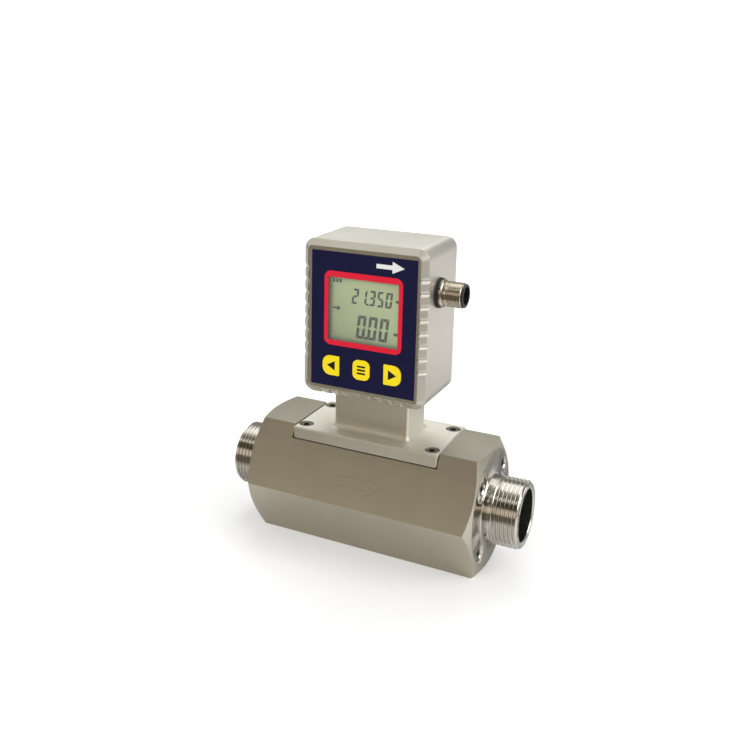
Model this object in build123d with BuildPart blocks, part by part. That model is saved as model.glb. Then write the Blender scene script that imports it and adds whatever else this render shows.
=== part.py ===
"""In-line gas flow sensor: hexagonal body, two threaded connectors, sensing stem and display head.

The frame: X runs along the pipe with the flow, Y runs from the display to the back, Z is up.
The origin is under the middle of the body, on the flat that it stands on. Millimetres.
"""
import os
from math import cos, radians, tan

from build123d import *

os.makedirs("parts", exist_ok=True)

# Hexagonal body, turned down at both ends
hex_across_flats = 60.0
pipe_height = hex_across_flats / 2
hex_corner_radius = pipe_height / cos(radians(30))
body_half_length = 59.6
end_face_radius = 29.0
end_chamfer_angle = 26.0
flow_bore_radius = 12.7
fit_gap = 0.05

# Slot on top of the body for the sensor base
slot_length = 77.7
slot_depth = 6.5
slot_floor = hex_across_flats - slot_depth

# Threaded connectors: flange let into the end face, spigot in the body, stub outside
flange_radius = 28.0
flange_thickness = 7.0
spigot_radius = 16.0
spigot_length = 8.0
thread_radius = 16.5
stub_end = 76.8
stub_end_chamfer = 1.4
stub_root_chamfer = 0.5
bore_edge_break = 0.4
seal_groove_width = 2.4
seal_groove_depth = 1.65
seal_groove_offset = 3.0

# Socket screws of size M4, used for the connectors and the sensor base
m4_radius = 2.0
m4_head_radius = 3.5
m4_head_height = 4.0
m4_socket_across = 3.0
m4_counterbore_radius = 3.7
m4_counterbore_depth = 4.3
m4_length = 10.0
m4_hole_depth = 8.0
connector_screw_circle = 46.8
socket_depth_share = 0.6
screw_head_edge = 0.3

# Honeycomb in the inlet
straightener_length = 10.0
cell_across_flats = 2.9
cell_pitch = 3.35
cell_rows = 9

# Sensor base: plate with a hollow neck
plate_length = 76.8
plate_width = 41.7
gasket_thickness = 0.5
plate_bottom = slot_floor + gasket_thickness
plate_thickness = hex_across_flats - plate_bottom
plate_edge_break = 0.8
plate_screw_spacing_x = 67.8
plate_screw_spacing_y = 29.6
neck_width = 39.4
neck_depth = 23.3
neck_corner = 1.6
neck_root_fillet = 2.4
edge_search = 0.01
neck_cavity_width = 26.0
neck_cavity_depth = 16.0
neck_seat_hole_radius = 9.0
neck_seat_hole_height = 3.0
gasket_inset = 0.4
gasket_hole_play = 0.2

# Socket screws of size M3 that hold the head on the neck from inside
m3_radius = 1.5
m3_clearance_radius = 1.6
m3_head_radius = 2.7
m3_head_height = 2.8
m3_socket_across = 2.5
m3_length = 11.0
m3_hole_depth = 9.0
m3_edge_distance = 1.0

# Sensing stem
probe_flange_radius = 12.0
probe_flange_thickness = 3.0
stem_radius = 8.0
stem_bottom = 43.5
stem_groove_offset = 1.4
blade_width = 12.0
blade_thickness = 4.0
blade_bottom = 24.0
chip_width = 5.6
chip_height = 7.6
chip_thickness = 0.8
probe_board_radius = 8.7
board_thickness = 1.6
probe_header_length = 9.0
probe_header_width = 5.0
probe_header_height = 4.0

# Display head housing
head_bottom = 81.2
head_width = 63.4
head_height = 76.8
head_front = -24.2
head_back = 14.8
head_depth = head_back - head_front
head_corner = 5.4
head_wall = 3.2
rim_chamfer = 3.0
label_recess_margin = 3.1
label_recess_depth = 1.0
front_wall_back = -20.7
cavity_corner = head_corner - head_wall
head_middle = head_bottom + head_height / 2

# Notches along the front rim
notch_radius = 1.9
notch_depth = 0.75
side_notch_count = 8
side_notch_pitch = 6.2
side_notch_first = 100.4
bottom_notch_count = 9
bottom_notch_pitch = 5.35

# Display: printed film, window, LCD
film_width = 53.8
film_height = 66.7
film_thickness = 0.3
film_middle = 119.5
label_seat = head_front + label_recess_depth
view_width = 36.0
view_height = 31.0
view_middle = 125.2
view_opening_margin = 0.8
view_opening_corner = 1.0
window_width = 41.0
window_height = 36.0
window_thickness = 1.5
window_corner = 2.0
lcd_width = 45.0
lcd_height = 39.0
lcd_thickness = 2.0
backlight_thickness = 3.0
lcd_frame_wall = 1.5
lcd_frame_corner = 1.0

# Keys raised in the film, and the switches behind them
key_pitch = 16.0
key_middle = 96.8
key_width = 8.9
key_height = 9.9
key_rise = 0.4
middle_key_corner = 3.0
outer_key_corner = 4.0
inner_key_corner = 0.5
key_hole_radius = 2.4
switch_size = 6.0
switch_height = 3.4
switch_stem_radius = 1.7

# Main board
board_width = 50.0
board_bottom = 87.0
board_top = 153.0
board_front = front_wall_back + lcd_thickness + backlight_thickness
board_back = board_front + board_thickness
board_boss_radius = 3.0
board_boss_x = 21.0
board_boss_heights = (90.2, 149.8)
board_corner = 2.0
board_screw_radius = 1.25
board_screw_clearance = 1.35
board_screw_head_radius = 2.3
board_screw_head_height = 2.0
board_screw_socket = 2.0
board_screw_length = 5.8
board_screw_hole_depth = 4.5

# What is soldered to the main board
chip_side = 10.0
chip_body_height = 1.4
chip_middle = 126.0
ribbon_header_bottom = 99.0
ribbon_header_width = 11.0
ribbon_header_height = 8.0
ribbon_header_depth = 7.0
ribbon_width = 7.0
ribbon_thickness = 0.9
ribbon_bend_start = 80.0
ribbon_bend_end = 91.0
ribbon_bend_radii = (14.0, 8.0)
leads_header_top = 118.0
leads_header_height = 8.0
leads_header_x = 11.0
leads_header_depth = 6.0
leads_header_margin = 1.0
lead_pitch = 2.5
lead_radius = 0.5
lead_count = 4
lead_bend_radii = (2.0, 3.0)
lead_drop = 7.0

# Rear cover
cover_thickness = 2.5
cover_step_wall = 1.6
cover_screw_x = 24.9
cover_screw_inset = 6.8
cover_boss_radius = 4.0
cover_boss_length = 12.0
cover_play = 0.15
cover_head_radius = 3.0
cover_head_play = 0.1
cover_head_height = 1.4
countersink_angle = 90.0
cover_socket_across = 2.0
cover_socket_depth = 1.2

# Round M12 connector on the right side of the head
plug_y = -7.5
plug_height = 135.3
plug_thread_radius = 6.0
plug_bore_radius = 4.9
plug_cavity_radius = 4.3
plug_flange_radius = 6.5
plug_washer_radius = 7.15
plug_washer_thickness = 1.2
plug_flange_thickness = 1.6
plug_groove_radius = 5.3
plug_groove_width = 1.0
plug_end = 44.8
plug_collar_radius = 5.55
plug_collar_length = 0.9
plug_collar_rounding = 0.3
plug_shell_edge = 0.4
plug_insert_overhang = 1.0
plug_back = 24.2
plug_cavity_depth = 7.0
plug_pin_radius = 0.5
plug_pin_circle = 5.4
plug_pin_inset = 1.4
plug_pin_overhang = 3.5
plug_nut_across = 14.0
plug_nut_thickness = 2.5

# Placement planes
pipe_axis = Axis((0, 0, pipe_height), (1, 0, 0))
pipe_section = Plane(origin=(0, 0, pipe_height), x_dir=(1, 0, 0), z_dir=(0, -1, 0))
plug_axis = Axis((0, plug_y, plug_height), (1, 0, 0))
plug_section = Plane(origin=(0, plug_y, plug_height), x_dir=(1, 0, 0), z_dir=(0, -1, 0))


def pipe_cross(x, side=1):
    """Plane across the pipe at x, facing +X or -X."""
    return Plane(origin=(x, 0, pipe_height), x_dir=(0, 1, 0), z_dir=(side, 0, 0))


def front_plane(y, z):
    """Plane facing the viewer of the display, at depth y and height z."""
    return Plane(origin=(0, y, z), x_dir=(1, 0, 0), z_dir=(0, -1, 0))


def back_plane(y, z):
    """Plane facing backwards, at depth y and height z."""
    return Plane(origin=(0, y, z), x_dir=(-1, 0, 0), z_dir=(0, 1, 0))


def finish(piece, name):
    """Name a finished piece and write it."""
    piece.label = name
    export_step(piece, f"parts/{name}.step")


def socket_screws(seat, spots, radius, head_radius, head_height, socket_across, length):
    """A group of socket head screws whose heads stand on the seat plane at the given spots."""
    socket_depth = head_height * socket_depth_share
    with BuildPart() as screws:
        with BuildSketch(seat):
            with Locations(*spots):
                Circle(head_radius)
        extrude(amount=head_height)
        chamfer(screws.faces().sort_by(Axis(seat.origin, seat.z_dir))[-len(spots):].edges(), screw_head_edge)
        with BuildSketch(seat):
            with Locations(*spots):
                Circle(radius - fit_gap)
        extrude(amount=-length)
        with BuildSketch(seat.offset(head_height)):
            with Locations(*spots):
                RegularPolygon(socket_across / 2, 6, major_radius=False)
        extrude(amount=-socket_depth, mode=Mode.SUBTRACT)
    return screws.part


def square_spots(spacing_x, spacing_y):
    """Four spots at the corners of a rectangle about the plane's origin."""
    return [(x, y) for x in (-spacing_x / 2, spacing_x / 2) for y in (-spacing_y / 2, spacing_y / 2)]


# Flow body
chamfer_start = body_half_length - (hex_corner_radius - end_face_radius) * tan(radians(end_chamfer_angle))
flange_seat = body_half_length - flange_thickness
spigot_end = flange_seat - spigot_length
straightener_end = spigot_end - straightener_length
connector_spots = square_spots(*[connector_screw_circle * cos(radians(45))] * 2)
plate_spots = square_spots(plate_screw_spacing_x, plate_screw_spacing_y)

with BuildPart() as flow_body:
    with BuildSketch(pipe_cross(0)):
        RegularPolygon(pipe_height, 6, major_radius=False)
    extrude(amount=body_half_length, both=True)
    # Both ends are turned to a shallow cone
    with BuildSketch(pipe_section):
        with BuildLine():
            Polyline(
                (-body_half_length, 0),
                (-body_half_length, end_face_radius),
                (-chamfer_start, hex_corner_radius),
                (chamfer_start, hex_corner_radius),
                (body_half_length, end_face_radius),
                (body_half_length, 0),
                close=True,
            )
        make_face()
    revolve(axis=pipe_axis, mode=Mode.INTERSECT)
    # Slot for the sensor base
    with BuildSketch(Plane.XY.offset(hex_across_flats)):
        Rectangle(slot_length, 2 * hex_across_flats)
    extrude(amount=-slot_depth, mode=Mode.SUBTRACT)
    # Flow bore, with seats for the honeycomb, the spigots and the flanges
    with BuildSketch(pipe_section):
        with BuildLine():
            Polyline(
                (-body_half_length, 0),
                (-body_half_length, flange_radius + fit_gap),
                (-flange_seat, flange_radius + fit_gap),
                (-flange_seat, spigot_radius + fit_gap),
                (-straightener_end, spigot_radius + fit_gap),
                (-straightener_end, flow_bore_radius),
                (spigot_end, flow_bore_radius),
                (spigot_end, spigot_radius + fit_gap),
                (flange_seat, spigot_radius + fit_gap),
                (flange_seat, flange_radius + fit_gap),
                (body_half_length, flange_radius + fit_gap),
                (body_half_length, 0),
                close=True,
            )
        make_face()
    revolve(axis=pipe_axis, mode=Mode.SUBTRACT)
    # Seat and hole for the sensing stem
    with Locations(Plane.XY.offset(slot_floor)):
        CounterBoreHole(
            stem_radius + fit_gap,
            probe_flange_radius + fit_gap,
            probe_flange_thickness,
            depth=slot_floor - pipe_height,
        )
    # Threaded holes for the base and for both flanges
    with BuildSketch(Plane.XY.offset(slot_floor)):
        with Locations(*plate_spots):
            Circle(m4_radius)
    extrude(amount=-m4_hole_depth, mode=Mode.SUBTRACT)
    for side in (-1, 1):
        with BuildSketch(pipe_cross(side * flange_seat, side)):
            with Locations(*connector_spots):
                Circle(m4_radius)
        extrude(amount=-m4_hole_depth, mode=Mode.SUBTRACT)
finish(flow_body.part, "flow_body")


def threaded_connector(side):
    """Flanged stub for one end: side is -1 for the inlet and 1 for the outlet."""
    seal_start = flange_seat - seal_groove_offset
    outline = [
        (spigot_end, flow_bore_radius),
        (spigot_end, spigot_radius),
        (seal_start - seal_groove_width, spigot_radius),
        (seal_start - seal_groove_width, spigot_radius - seal_groove_depth),
        (seal_start, spigot_radius - seal_groove_depth),
        (seal_start, spigot_radius),
        (flange_seat, spigot_radius),
        (flange_seat, flange_radius),
        (body_half_length, flange_radius),
        (body_half_length, thread_radius + stub_root_chamfer),
        (body_half_length + stub_root_chamfer, thread_radius),
        (stub_end - stub_end_chamfer, thread_radius),
        (stub_end, thread_radius - stub_end_chamfer),
        (stub_end, flow_bore_radius + bore_edge_break),
        (stub_end - bore_edge_break, flow_bore_radius),
    ]
    with BuildPart() as connector:
        with BuildSketch(pipe_section):
            with BuildLine():
                Polyline(*[(side * x, radius) for x, radius in outline], close=True)
            make_face()
        revolve(axis=pipe_axis)
        with Locations(pipe_cross(side * body_half_length, side)):
            with Locations(*connector_spots):
                CounterBoreHole(
                    m4_radius + fit_gap,
                    m4_counterbore_radius,
                    m4_counterbore_depth,
                    depth=flange_thickness,
                )
    return connector.part


def connector_screws(side):
    """Four screws that hold one connector."""
    seat = pipe_cross(side * (body_half_length - m4_counterbore_depth), side)
    return socket_screws(
        seat, connector_spots, m4_radius, m4_head_radius, m4_head_height, m4_socket_across, m4_length
    )


def spigot_seal(side):
    """O-ring in the groove of one spigot."""
    ring_radius = seal_groove_depth / 2
    middle = flange_seat - seal_groove_offset - seal_groove_width / 2
    with BuildPart() as ring:
        with BuildSketch(pipe_section):
            with Locations((side * middle, spigot_radius - ring_radius)):
                Circle(ring_radius)
        revolve(axis=pipe_axis)
    return ring.part


for side, port in ((-1, "inlet"), (1, "outlet")):
    finish(threaded_connector(side), f"{port}_connector")
    finish(connector_screws(side), f"{port}_connector_screws")
    finish(spigot_seal(side), f"{port}_seal")

# Honeycomb that straightens the gas before the chip
with BuildPart() as flow_straightener:
    with BuildSketch(pipe_cross(-spigot_end)):
        Circle(spigot_radius)
    extrude(amount=straightener_length)
    with BuildSketch(pipe_cross(-spigot_end)):
        with HexLocations(cell_pitch / 2, cell_rows, cell_rows) as cells:
            inside = [
                spot
                for spot in cells.local_locations
                if spot.position.length < flow_bore_radius - cell_across_flats / 2
            ]
        with Locations(*inside):
            RegularPolygon(cell_across_flats / 2, 6, major_radius=False, rotation=30)
    extrude(amount=straightener_length, mode=Mode.SUBTRACT)
finish(flow_straightener.part, "flow_straightener")

# Sensor base: plate and hollow neck in one piece
neck_top = head_bottom - gasket_thickness
neck_screw_spots = square_spots((neck_width + neck_cavity_width) / 2, neck_cavity_depth - m3_edge_distance)

with BuildPart() as sensor_base:
    with BuildSketch(Plane.XY.offset(plate_bottom)):
        Rectangle(plate_length, plate_width)
    extrude(amount=plate_thickness)
    chamfer(sensor_base.edges().group_by(Axis.Z)[-1], plate_edge_break)
    chamfer(sensor_base.edges().filter_by(Axis.Z), plate_edge_break)
    with BuildSketch(Plane.XY.offset(hex_across_flats)):
        RectangleRounded(neck_width, neck_depth, neck_corner)
    extrude(amount=neck_top - hex_across_flats)
    at_root = sensor_base.edges().filter_by_position(
        Axis.Z, hex_across_flats - edge_search, hex_across_flats + edge_search
    )
    in_neck = at_root.filter_by(lambda edge: abs(edge.center().X) < neck_width / 2 + edge_search)
    neck_root = in_neck.filter_by(lambda edge: abs(edge.center().Y) < neck_depth / 2 + edge_search)
    fillet(neck_root, neck_root_fillet)
    # Hollow for the leads, down to the stem
    with BuildSketch(Plane.XY.offset(neck_top)):
        RectangleRounded(neck_cavity_width, neck_cavity_depth, neck_corner)
    extrude(amount=-(neck_top - plate_bottom - neck_seat_hole_height), mode=Mode.SUBTRACT)
    with BuildSketch(Plane.XY.offset(plate_bottom)):
        Circle(neck_seat_hole_radius)
    extrude(amount=neck_seat_hole_height, mode=Mode.SUBTRACT)
    with Locations(Plane.XY.offset(hex_across_flats)):
        with Locations(*plate_spots):
            CounterBoreHole(
                m4_radius + fit_gap,
                m4_counterbore_radius,
                m4_counterbore_depth,
                depth=plate_thickness,
            )
    with BuildSketch(Plane.XY.offset(neck_top)):
        with Locations(*neck_screw_spots):
            Circle(m3_radius)
    extrude(amount=-m3_hole_depth, mode=Mode.SUBTRACT)
finish(sensor_base.part, "sensor_base")

finish(
    socket_screws(
        Plane.XY.offset(hex_across_flats - m4_counterbore_depth),
        plate_spots,
        m4_radius,
        m4_head_radius,
        m4_head_height,
        m4_socket_across,
        m4_length,
    ),
    "base_screws",
)

# Flat gasket under the plate, set back a little from its edges
with BuildPart() as base_gasket:
    with BuildSketch(Plane.XY.offset(slot_floor)):
        Rectangle(plate_length - 2 * gasket_inset, plate_width - 2 * gasket_inset)
        Circle(neck_seat_hole_radius, mode=Mode.SUBTRACT)
        with Locations(*plate_spots):
            Circle(m4_radius + gasket_hole_play, mode=Mode.SUBTRACT)
    extrude(amount=gasket_thickness)
finish(base_gasket.part, "base_gasket")

# Sensing stem with a thin blade that reaches the middle of the bore
stem_top = slot_floor - probe_flange_thickness
stem_groove_top = stem_top - stem_groove_offset
with BuildPart() as sensor_probe:
    with BuildSketch(Plane.XY.offset(stem_top)):
        Circle(probe_flange_radius)
    extrude(amount=probe_flange_thickness)
    with BuildSketch(Plane.XY.offset(stem_bottom)):
        Circle(stem_radius)
    extrude(amount=stem_top - stem_bottom)
    with BuildSketch(Plane.XY.offset(stem_groove_top)):
        Circle(stem_radius)
        Circle(stem_radius - seal_groove_depth, mode=Mode.SUBTRACT)
    extrude(amount=-seal_groove_width, mode=Mode.SUBTRACT)
    with BuildSketch(Plane.XY.offset(blade_bottom)):
        SlotOverall(blade_width, blade_thickness)
    extrude(amount=stem_bottom - blade_bottom)
    with BuildSketch(front_plane(-blade_thickness / 2, pipe_height)):
        Rectangle(chip_width, chip_height)
    extrude(amount=-chip_thickness, mode=Mode.SUBTRACT)
finish(sensor_probe.part, "sensor_probe")

with BuildPart() as sensor_chip:
    with BuildSketch(front_plane(-blade_thickness / 2, pipe_height)):
        Rectangle(chip_width - 2 * fit_gap, chip_height - 2 * fit_gap)
    extrude(amount=-chip_thickness)
finish(sensor_chip.part, "sensor_chip")

with BuildPart() as probe_seal:
    with BuildSketch(Plane.XZ):
        with Locations((stem_radius - seal_groove_depth / 2, stem_groove_top - seal_groove_width / 2)):
            Circle(seal_groove_depth / 2)
    revolve(axis=Axis.Z)
finish(probe_seal.part, "probe_seal")

with BuildPart() as probe_board:
    with BuildSketch(Plane.XY.offset(slot_floor)):
        Circle(probe_board_radius)
    extrude(amount=board_thickness)
finish(probe_board.part, "probe_board")

probe_header_top = slot_floor + board_thickness + probe_header_height
with BuildPart() as probe_header:
    with BuildSketch(Plane.XY.offset(slot_floor + board_thickness)):
        Rectangle(probe_header_length, probe_header_width)
    extrude(amount=probe_header_height)
finish(probe_header.part, "probe_header")

# Joint of the neck and the head
head_floor = head_bottom + head_wall
with BuildPart() as neck_gasket:
    with BuildSketch(Plane.XY.offset(neck_top)):
        RectangleRounded(neck_width - 2 * gasket_inset, neck_depth - 2 * gasket_inset, neck_corner)
        RectangleRounded(neck_cavity_width, neck_cavity_depth, neck_corner, mode=Mode.SUBTRACT)
        with Locations(*neck_screw_spots):
            Circle(m3_clearance_radius, mode=Mode.SUBTRACT)
    extrude(amount=gasket_thickness)
finish(neck_gasket.part, "neck_gasket")

finish(
    socket_screws(
        Plane.XY.offset(head_floor),
        neck_screw_spots,
        m3_radius,
        m3_head_radius,
        m3_head_height,
        m3_socket_across,
        m3_length,
    ),
    "neck_screws",
)


# Head housing: an open-backed casting with a bevelled and notched front rim
rim_middle_y = head_front + rim_chamfer / 2
rim_middle_x = head_width / 2 - rim_chamfer / 2
right_slope = Plane(origin=(rim_middle_x, rim_middle_y, 0), x_dir=(0, 0, 1), z_dir=(1, 1, 0))
left_slope = Plane(origin=(-rim_middle_x, rim_middle_y, 0), x_dir=(0, 0, 1), z_dir=(1, -1, 0))
lower_slope = Plane(
    origin=(0, rim_middle_y, head_bottom + rim_chamfer / 2), x_dir=(1, 0, 0), z_dir=(0, 1, -1)
)
side_notches = [side_notch_first + side_notch_pitch * step for step in range(side_notch_count)]
bottom_notches = [
    bottom_notch_pitch * (step - (bottom_notch_count - 1) / 2) for step in range(bottom_notch_count)
]
cavity_height = head_height - 2 * head_wall
cavity_width = head_width - 2 * head_wall
cover_seat = head_back - cover_thickness - gasket_thickness
cover_opening_width = head_width - 2 * cover_step_wall
cover_opening_height = head_height - 2 * cover_step_wall
cover_opening_corner = head_corner - cover_step_wall
cover_screw_spots = square_spots(2 * cover_screw_x, head_height - 2 * cover_screw_inset)
board_boss_spots = [(x, z - head_middle) for x in (-board_boss_x, board_boss_x) for z in board_boss_heights]
key_spots = [(x, key_middle - head_middle) for x in (-key_pitch, 0, key_pitch)]

with BuildPart() as head_housing:
    with BuildSketch(front_plane(head_front, head_middle)):
        RectangleRounded(head_width, head_height, head_corner)
    extrude(amount=-head_depth)
    chamfer(head_housing.faces().sort_by(Axis.Y)[0].edges(), rim_chamfer)
    # Round notches cut across the bevel of the right, left and lower rim
    for slope, spots in (
        (right_slope, side_notches),
        (left_slope, side_notches),
        (lower_slope, bottom_notches),
    ):
        with BuildSketch(slope):
            with Locations(*[(spot, notch_radius - notch_depth) for spot in spots]):
                Circle(notch_radius)
        extrude(amount=rim_chamfer, both=True, mode=Mode.SUBTRACT)
    # Recess for the printed film
    with BuildSketch(front_plane(head_front, head_middle)):
        RectangleRounded(
            head_width - 2 * label_recess_margin,
            head_height - 2 * label_recess_margin,
            head_corner - rim_chamfer,
        )
    extrude(amount=-label_recess_depth, mode=Mode.SUBTRACT)
    # Hollow inside, open at the back, with a step for the rear cover
    with BuildSketch(front_plane(front_wall_back, head_middle)):
        RectangleRounded(cavity_width, cavity_height, cavity_corner)
    extrude(amount=-head_depth, mode=Mode.SUBTRACT)
    with BuildSketch(front_plane(cover_seat, head_middle)):
        RectangleRounded(cover_opening_width, cover_opening_height, cover_opening_corner)
    extrude(amount=-head_depth, mode=Mode.SUBTRACT)
    # Bosses for the rear cover and the main board
    with BuildSketch(front_plane(cover_seat, head_middle)):
        with Locations(*cover_screw_spots):
            Circle(cover_boss_radius)
    extrude(amount=cover_boss_length)
    with BuildSketch(front_plane(board_front, head_middle)):
        with Locations(*board_boss_spots):
            Circle(board_boss_radius)
    extrude(amount=board_front - front_wall_back)
    with BuildSketch(front_plane(cover_seat, head_middle)):
        with Locations(*cover_screw_spots):
            Circle(m3_radius)
    extrude(amount=m3_hole_depth, mode=Mode.SUBTRACT)
    with BuildSketch(front_plane(board_front, head_middle)):
        with Locations(*board_boss_spots):
            Circle(board_screw_radius)
    extrude(amount=board_screw_hole_depth, mode=Mode.SUBTRACT)
    # Seat and opening for the window
    with BuildSketch(front_plane(label_seat, view_middle)):
        RectangleRounded(window_width, window_height, window_corner)
    extrude(amount=-window_thickness, mode=Mode.SUBTRACT)
    with BuildSketch(front_plane(label_seat, view_middle)):
        RectangleRounded(
            view_width + 2 * view_opening_margin, view_height + 2 * view_opening_margin, view_opening_corner
        )
    extrude(amount=label_seat - front_wall_back, mode=Mode.SUBTRACT)
    # Holes for the key stems
    with BuildSketch(front_plane(label_seat, head_middle)):
        with Locations(*key_spots):
            Circle(key_hole_radius)
    extrude(amount=label_seat - front_wall_back, mode=Mode.SUBTRACT)
    # Opening in the floor over the neck, with its screw holes
    with BuildSketch(Plane.XY.offset(head_bottom)):
        RectangleRounded(neck_cavity_width, neck_cavity_depth, neck_corner)
        with Locations(*neck_screw_spots):
            Circle(m3_clearance_radius)
    extrude(amount=head_wall, mode=Mode.SUBTRACT)
    # Hole in the right wall for the round connector
    with BuildSketch(Plane(origin=(head_width / 2, plug_y, plug_height), x_dir=(0, 1, 0), z_dir=(1, 0, 0))):
        Circle(plug_thread_radius + fit_gap)
    extrude(amount=-head_wall, mode=Mode.SUBTRACT)
finish(head_housing.part, "head_housing")

# Printed film with three raised keys
with BuildPart() as label_overlay:
    with BuildSketch(front_plane(label_seat, film_middle)):
        Rectangle(film_width, film_height)
        with Locations((0, view_middle - film_middle)):
            Rectangle(view_width, view_height, mode=Mode.SUBTRACT)
    extrude(amount=film_thickness)
    film_face = front_plane(label_seat - film_thickness, key_middle)
    with BuildSketch(film_face):
        RectangleRounded(key_width, key_height, middle_key_corner)
    extrude(amount=key_rise)
    # The outer keys are round on the side away from the middle
    with BuildSketch(film_face) as left_key:
        with Locations((-key_pitch, 0)):
            Rectangle(key_width, key_height)
        fillet(left_key.vertices().group_by(Axis.X)[0], outer_key_corner)
        fillet(left_key.vertices().group_by(Axis.X)[-1], inner_key_corner)
    extrude(amount=key_rise)
    with BuildSketch(film_face) as right_key:
        with Locations((key_pitch, 0)):
            Rectangle(key_width, key_height)
        fillet(right_key.vertices().group_by(Axis.X)[-1], outer_key_corner)
        fillet(right_key.vertices().group_by(Axis.X)[0], inner_key_corner)
    extrude(amount=key_rise)
finish(label_overlay.part, "label_overlay")

with BuildPart() as display_window:
    with BuildSketch(front_plane(label_seat, view_middle)):
        RectangleRounded(window_width - 2 * fit_gap, window_height - 2 * fit_gap, window_corner)
    extrude(amount=-window_thickness)
finish(display_window.part, "display_window")

# LCD, its light guide and the frame round both
with BuildPart() as lcd_panel:
    with BuildSketch(front_plane(front_wall_back, view_middle)):
        Rectangle(lcd_width, lcd_height)
    extrude(amount=-lcd_thickness)
finish(lcd_panel.part, "lcd_panel")

with BuildPart() as lcd_backlight:
    with BuildSketch(front_plane(front_wall_back + lcd_thickness, view_middle)):
        Rectangle(lcd_width, lcd_height)
    extrude(amount=-backlight_thickness)
finish(lcd_backlight.part, "lcd_backlight")

with BuildPart() as lcd_frame:
    with BuildSketch(front_plane(front_wall_back, view_middle)):
        RectangleRounded(lcd_width + 2 * lcd_frame_wall, lcd_height + 2 * lcd_frame_wall, lcd_frame_corner)
        Rectangle(lcd_width + 2 * fit_gap, lcd_height + 2 * fit_gap, mode=Mode.SUBTRACT)
    extrude(amount=-(lcd_thickness + backlight_thickness))
finish(lcd_frame.part, "lcd_frame")

# Main board with what is soldered to it
board_height = board_top - board_bottom
board_middle = (board_top + board_bottom) / 2
board_screw_spots = [(x, z - board_middle) for x in (-board_boss_x, board_boss_x) for z in board_boss_heights]
with BuildPart() as main_board:
    with BuildSketch(front_plane(board_front, board_middle)):
        RectangleRounded(board_width, board_height, board_corner)
        with Locations(*board_screw_spots):
            Circle(board_screw_clearance, mode=Mode.SUBTRACT)
    extrude(amount=-board_thickness)
finish(main_board.part, "main_board")

with BuildPart() as key_switches:
    with BuildSketch(front_plane(board_front, head_middle)):
        with Locations(*key_spots):
            Rectangle(switch_size, switch_size)
    extrude(amount=switch_height)
    with BuildSketch(front_plane(board_front - switch_height, head_middle)):
        with Locations(*key_spots):
            Circle(switch_stem_radius)
    extrude(amount=board_front - switch_height - label_seat)
finish(key_switches.part, "key_switches")

finish(
    socket_screws(
        back_plane(board_back, board_middle),
        board_screw_spots,
        board_screw_radius,
        board_screw_head_radius,
        board_screw_head_height,
        board_screw_socket,
        board_screw_length,
    ),
    "board_screws",
)

with BuildPart() as processor_chip:
    with BuildSketch(back_plane(board_back, chip_middle)):
        Rectangle(chip_side, chip_side)
    extrude(amount=chip_body_height)
finish(processor_chip.part, "processor_chip")

# Ribbon from the stem's board up to a header on the main board
ribbon_y = board_back + ribbon_header_depth / 2
with BuildPart() as ribbon_header:
    with BuildSketch(back_plane(board_back, ribbon_header_bottom + ribbon_header_height / 2)):
        Rectangle(ribbon_header_width, ribbon_header_height)
    extrude(amount=ribbon_header_depth)
finish(ribbon_header.part, "ribbon_header")

with BuildPart() as sensor_ribbon:
    with BuildLine():
        FilletPolyline(
            (0, 0, probe_header_top),
            (0, 0, ribbon_bend_start),
            (0, ribbon_y, ribbon_bend_end),
            (0, ribbon_y, ribbon_header_bottom),
            radius=list(ribbon_bend_radii),
        )
    with BuildSketch(Plane.XY.offset(probe_header_top)):
        Rectangle(ribbon_width, ribbon_thickness)
    sweep()
finish(sensor_ribbon.part, "sensor_ribbon")

# Rear cover with its gasket and screws
with BuildPart() as rear_gasket:
    with BuildSketch(back_plane(cover_seat, head_middle)):
        RectangleRounded(
            cover_opening_width - 2 * fit_gap, cover_opening_height - 2 * fit_gap, cover_opening_corner
        )
        RectangleRounded(cavity_width, cavity_height, cavity_corner, mode=Mode.SUBTRACT)
    extrude(amount=gasket_thickness)
finish(rear_gasket.part, "rear_gasket")

with BuildPart() as rear_cover:
    with BuildSketch(back_plane(head_back - cover_thickness, head_middle)):
        RectangleRounded(
            cover_opening_width - 2 * cover_play, cover_opening_height - 2 * cover_play, cover_opening_corner
        )
    extrude(amount=cover_thickness)
    with Locations(back_plane(head_back, head_middle)):
        with Locations(*cover_screw_spots):
            CounterSinkHole(
                m3_clearance_radius,
                cover_head_radius,
                depth=cover_thickness,
                counter_sink_angle=countersink_angle,
            )
finish(rear_cover.part, "rear_cover")

with BuildPart() as rear_cover_screws:
    with BuildSketch(back_plane(head_back, head_middle)):
        with Locations(*cover_screw_spots):
            Circle(cover_head_radius - cover_head_play)
    extrude(amount=-cover_head_height, taper=countersink_angle / 2)
    with BuildSketch(back_plane(head_back, head_middle)):
        with Locations(*cover_screw_spots):
            Circle(m3_radius - fit_gap)
    extrude(amount=-m3_hole_depth)
    with BuildSketch(back_plane(head_back, head_middle)):
        with Locations(*cover_screw_spots):
            RegularPolygon(cover_socket_across / 2, 6, major_radius=False)
    extrude(amount=-cover_socket_depth, mode=Mode.SUBTRACT)
finish(rear_cover_screws.part, "rear_cover_screws")

# Round connector: washer, shell, insert, pins and nut
wall_outside = head_width / 2
wall_inside = wall_outside - head_wall
washer_face = wall_outside + plug_washer_thickness
flange_face = washer_face + plug_flange_thickness
groove_end = flange_face + plug_groove_width
shell_end = plug_end - plug_collar_length
insert_back = plug_back - plug_insert_overhang
insert_front = plug_end - plug_cavity_depth


def plug_ring(outline):
    """Turn a ring about the connector's axis from (x, radius) points."""
    with BuildPart() as ring:
        with BuildSketch(plug_section):
            with BuildLine():
                Polyline(*outline, close=True)
            make_face()
        revolve(axis=plug_axis)
    return ring.part


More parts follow.
